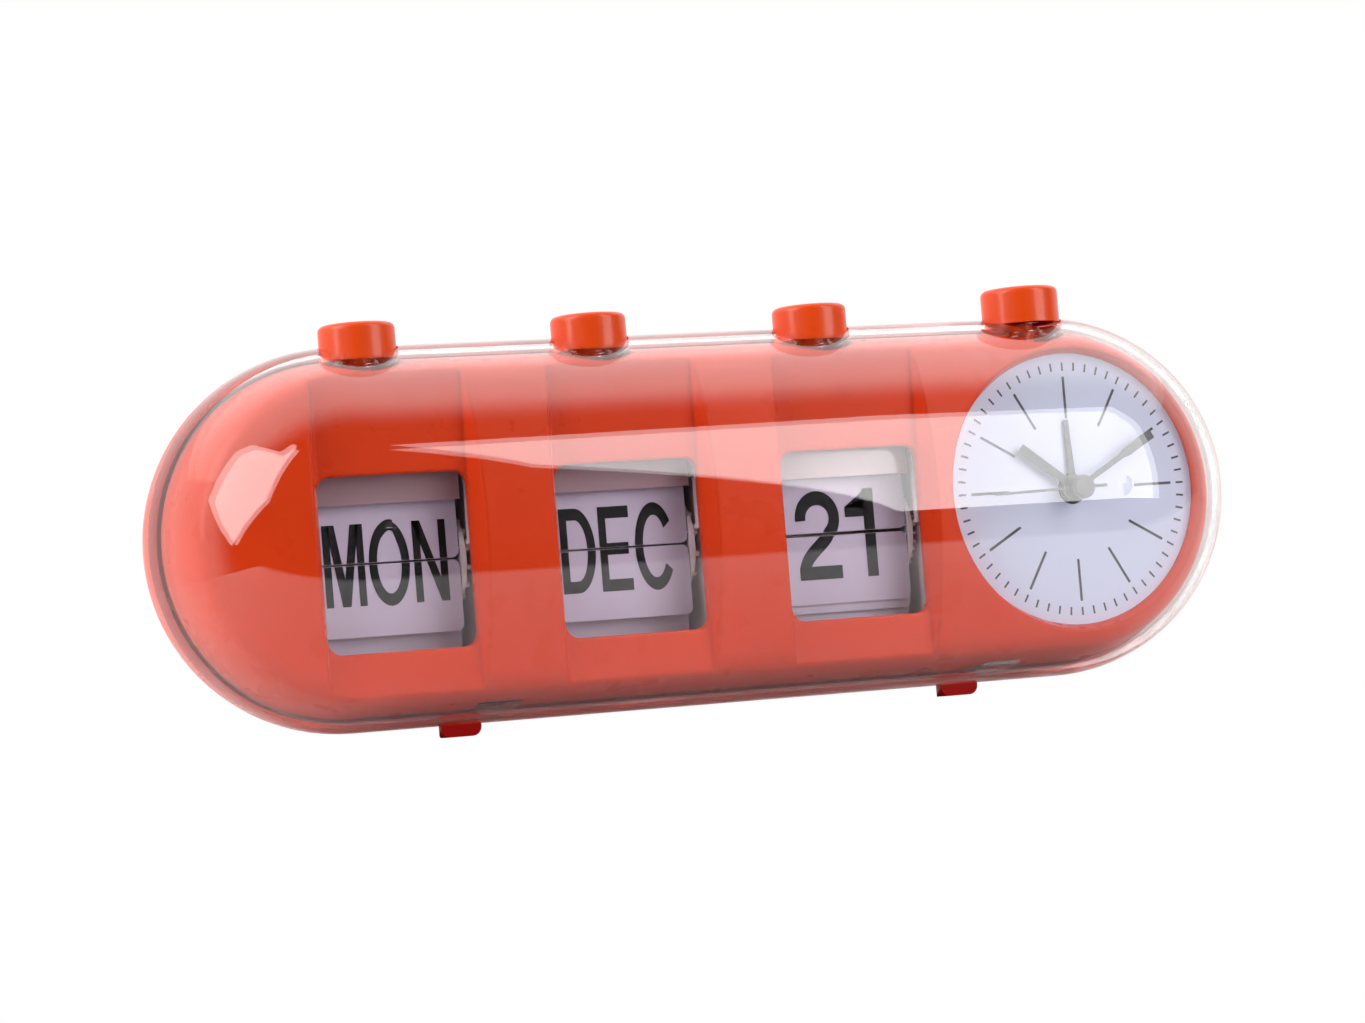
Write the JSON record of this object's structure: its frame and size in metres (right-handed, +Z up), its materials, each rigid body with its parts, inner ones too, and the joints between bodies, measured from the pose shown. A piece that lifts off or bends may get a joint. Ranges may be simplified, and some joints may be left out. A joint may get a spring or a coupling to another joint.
{
  "type": "flip number clock",
  "caption": "Pill-shaped flip calendar alarm clock: weekday, month and date flaps, an analogue dial, push buttons on top, clear domed front.",
  "frame": {"origin": "on the table under the middle of the case, where the parting plane between the clear front and the rear shell meets the table", "axes": "+X along the case to the viewer's right, +Y to the back, +Z up"},
  "size_m": [0.244, 0.08, 0.0886],
  "materials": {
    "shell_orange": "gloss, opaque",
    "bezel_orange": "satin gloss",
    "cover_clear": "clear, polished",
    "feet_orange": "gloss",
    "door_orange": "gloss",
    "button_orange": "gloss",
    "flap_white": "matt, printed black",
    "leaf_clear": "clear, thin",
    "frame_grey": "satin moulded",
    "drum_white": "satin moulded",
    "dial_white": "matt, printed black",
    "hand_grey": "satin grey paint",
    "movement_black": "matt",
    "gear_white": "satin acetal",
    "knob_black": "matt, ribbed",
    "copper": "enamelled wire",
    "magnet_grey": "sintered",
    "board_green": "solder mask",
    "buzzer_brass": "satin",
    "steel": "zinc plated",
    "contact_steel": "nickel plated",
    "battery_sleeve": "printed sleeve"
  },
  "bodies": {
    "case": {"rear_shell": "shell_orange", "front_cover": "cover_clear", "bezel": "bezel_orange", "feet": "feet_orange", "case_screws": "steel", "frame_screws": "steel", "battery": "battery_sleeve", "battery_contacts": "contact_steel", "dial": "dial_white", "movement_front": "movement_black", "movement_back": "movement_black", "coil": "copper", "circuit_board": "board_green", "buzzer": "buzzer_brass", "spring_day": "steel", "spring_month": "steel", "spring_date": "steel", "spring_alarm": "steel", "frame_day": "frame_grey", "leaf_day": "leaf_clear", "frame_month": "frame_grey", "leaf_month": "leaf_clear", "frame_date": "frame_grey", "leaf_date": "leaf_clear"},
    "door": {"battery_door": "door_orange"},
    "minute_arbor": {"centre_wheel": "gear_white", "minute_hand": "hand_grey"},
    "second_arbor": {"second_wheel": "gear_white", "second_hand": "hand_grey"},
    "third_arbor": {"third_wheel": "gear_white"},
    "motion_arbor": {"motion_wheel": "gear_white"},
    "hour_arbor": {"hour_wheel": "gear_white", "hour_hand": "hand_grey"},
    "alarm_set_arbor": {"alarm_wheel": "gear_white", "alarm_hand": "hand_grey"},
    "time_knob_arbor": {"time_knob": "knob_black"},
    "alarm_knob_arbor": {"alarm_knob": "knob_black"},
    "rotor_arbor": {"rotor": "magnet_grey"},
    "day_button": {"button_day": "button_orange", "pusher_day": "frame_grey"},
    "month_button": {"button_month": "button_orange", "pusher_month": "frame_grey"},
    "date_button": {"button_date": "button_orange", "pusher_date": "frame_grey"},
    "alarm_button": {"button_alarm": "button_orange"},
    "day_drum": {"drum_day": "drum_white", "flaps_day": "flap_white"},
    "day_top": {"top_flap_day": "flap_white"},
    "day_next": {"next_flap_day": "flap_white"},
    "day_low": {"low_flap_day": "flap_white"},
    "month_drum": {"drum_month": "drum_white", "flaps_month": "flap_white"},
    "month_top": {"top_flap_month": "flap_white"},
    "month_next": {"next_flap_month": "flap_white"},
    "month_low": {"low_flap_month": "flap_white"},
    "date_drum": {"drum_date": "drum_white", "flaps_date": "flap_white"},
    "date_top": {"top_flap_date": "flap_white"},
    "date_next": {"next_flap_date": "flap_white"},
    "date_low": {"low_flap_date": "flap_white"}
  },
  "joints": [
    {"name": "door_hinge", "type": "hinge", "parent": "case", "child": "door", "pos_m": [0.082, 0.0246, 0.0151], "axis": [-1, 0, 0], "range_deg": [0, 90]},
    {"name": "minute_turn", "type": "hinge", "parent": "case", "child": "minute_arbor", "pos_m": [0.082, -0.005, 0.0432], "axis": [0, 1, 0], "continuous": true},
    {"name": "second_turn", "type": "hinge", "parent": "case", "child": "second_arbor", "pos_m": [0.082, -0.005, 0.0432], "axis": [0, 1, 0], "continuous": true},
    {"name": "third_turn", "type": "hinge", "parent": "case", "child": "third_arbor", "pos_m": [0.082, -0.005, 0.0517], "axis": [0, 1, 0], "continuous": true},
    {"name": "motion_turn", "type": "hinge", "parent": "case", "child": "motion_arbor", "pos_m": [0.08986, -0.005, 0.03769], "axis": [0, 1, 0], "continuous": true},
    {"name": "hour_turn", "type": "hinge", "parent": "case", "child": "hour_arbor", "pos_m": [0.082, -0.005, 0.0432], "axis": [0, 1, 0], "continuous": true},
    {"name": "alarm_set_turn", "type": "hinge", "parent": "case", "child": "alarm_set_arbor", "pos_m": [0.082, -0.005, 0.0432], "axis": [0, 1, 0], "continuous": true},
    {"name": "time_knob_turn", "type": "hinge", "parent": "case", "child": "time_knob_arbor", "pos_m": [0.09946, -0.005, 0.0377], "axis": [0, 1, 0], "continuous": true},
    {"name": "alarm_knob_turn", "type": "hinge", "parent": "case", "child": "alarm_knob_arbor", "pos_m": [0.06664, -0.005, 0.0432], "axis": [0, 1, 0], "continuous": true},
    {"name": "rotor_turn", "type": "hinge", "parent": "case", "child": "rotor_arbor", "pos_m": [0.095, -0.005, 0.0272], "axis": [0, 1, 0], "continuous": true},
    {"name": "day_press", "type": "slide", "parent": "case", "child": "day_button", "axis": [0, 0, -1], "range_m": [0, 0.00377], "stiffness_N_per_m": 250, "springref_m": -0.004, "deforming": ["spring_day"]},
    {"name": "month_press", "type": "slide", "parent": "case", "child": "month_button", "axis": [0, 0, -1], "range_m": [0, 0.0044], "stiffness_N_per_m": 250, "springref_m": -0.004, "deforming": ["spring_month"]},
    {"name": "date_press", "type": "slide", "parent": "case", "child": "date_button", "axis": [0, 0, -1], "range_m": [0, 0.0017], "stiffness_N_per_m": 250, "springref_m": -0.004, "deforming": ["spring_date"]},
    {"name": "alarm_press", "type": "slide", "parent": "case", "child": "alarm_button", "axis": [0, 0, -1], "range_m": [0, 0.002], "stiffness_N_per_m": 250, "springref_m": -0.004, "deforming": ["spring_alarm"]},
    {"name": "day_drum_turn", "type": "hinge", "parent": "case", "child": "day_drum", "pos_m": [-0.0744, 0.00106, 0.037], "axis": [1, 0, 0], "range_deg": [0, 25.73]},
    {"name": "day_top_flip", "type": "hinge", "parent": "day_drum", "child": "day_top", "pos_m": [-0.0744, -0.0082, 0.03911], "axis": [1, 0, 0], "range_deg": [0, 154.31], "deforming": ["leaf_day"]},
    {"name": "day_next_swing", "type": "hinge", "parent": "day_drum", "child": "day_next", "pos_m": [-0.0744, -0.00637, 0.04292], "axis": [1, 0, 0], "range_deg": [-11.89, 0]},
    {"name": "day_low_swing", "type": "hinge", "parent": "day_drum", "child": "day_low", "pos_m": [-0.0744, -0.0082, 0.03489], "axis": [1, 0, 0], "range_deg": [-25.73, 0]},
    {"name": "month_drum_turn", "type": "hinge", "parent": "case", "child": "month_drum", "pos_m": [-0.0231, 0.00098, 0.037], "axis": [1, 0, 0], "range_deg": [0, 30.02]},
    {"name": "month_top_flip", "type": "hinge", "parent": "month_drum", "child": "month_top", "pos_m": [-0.0231, -0.0082, 0.03946], "axis": [1, 0, 0], "range_deg": [0, 150.02], "deforming": ["leaf_month"]},
    {"name": "month_next_swing", "type": "hinge", "parent": "month_drum", "child": "month_next", "pos_m": [-0.0231, -0.00574, 0.04372], "axis": [1, 0, 0], "range_deg": [-13.66, 0]},
    {"name": "month_low_swing", "type": "hinge", "parent": "month_drum", "child": "month_low", "pos_m": [-0.0231, -0.0082, 0.03454], "axis": [1, 0, 0], "range_deg": [-30.02, 0]},
    {"name": "date_drum_turn", "type": "hinge", "parent": "case", "child": "date_drum", "pos_m": [0.0282, 0.00125, 0.037], "axis": [1, 0, 0], "range_deg": [0, 11.63]},
    {"name": "date_top_flip", "type": "hinge", "parent": "date_drum", "child": "date_top", "pos_m": [0.0282, -0.0082, 0.03796], "axis": [1, 0, 0], "range_deg": [0, 168.41], "deforming": ["leaf_date"]},
    {"name": "date_next_swing", "type": "hinge", "parent": "date_drum", "child": "date_next", "pos_m": [0.0282, -0.00781, 0.03984], "axis": [1, 0, 0], "range_deg": [-5.63, 0]},
    {"name": "date_low_swing", "type": "hinge", "parent": "date_drum", "child": "date_low", "pos_m": [0.0282, -0.0082, 0.03604], "axis": [1, 0, 0], "range_deg": [-11.63, 0]}
  ],
  "couplings": [
    {"joint": "second_turn", "follows": "minute_turn", "ratio": 60},
    {"joint": "third_turn", "follows": "minute_turn", "ratio": -8},
    {"joint": "motion_turn", "follows": "minute_turn", "ratio": -0.33333},
    {"joint": "hour_turn", "follows": "minute_turn", "ratio": 0.083333},
    {"joint": "time_knob_turn", "follows": "minute_turn", "ratio": 1},
    {"joint": "alarm_knob_turn", "follows": "alarm_set_turn", "ratio": -3},
    {"joint": "day_drum_turn", "follows": "day_press", "rad_per_m": 119.05},
    {"joint": "day_top_flip", "follows": "day_press", "rad_per_m": 714.29},
    {"joint": "day_next_swing", "follows": "day_press", "rad_per_m": -54.945},
    {"joint": "day_low_swing", "follows": "day_press", "rad_per_m": -119.05},
    {"joint": "month_drum_turn", "follows": "month_press", "rad_per_m": 119.05},
    {"joint": "month_top_flip", "follows": "month_press", "rad_per_m": 595.24},
    {"joint": "month_next_swing", "follows": "month_press", "rad_per_m": -54.113},
    {"joint": "month_low_swing", "follows": "month_press", "rad_per_m": -119.05},
    {"joint": "date_drum_turn", "follows": "date_press", "rad_per_m": 119.05},
    {"joint": "date_top_flip", "follows": "date_press", "rad_per_m": 1726.2},
    {"joint": "date_next_swing", "follows": "date_press", "rad_per_m": -57.54},
    {"joint": "date_low_swing", "follows": "date_press", "rad_per_m": -119.05}
  ]
}
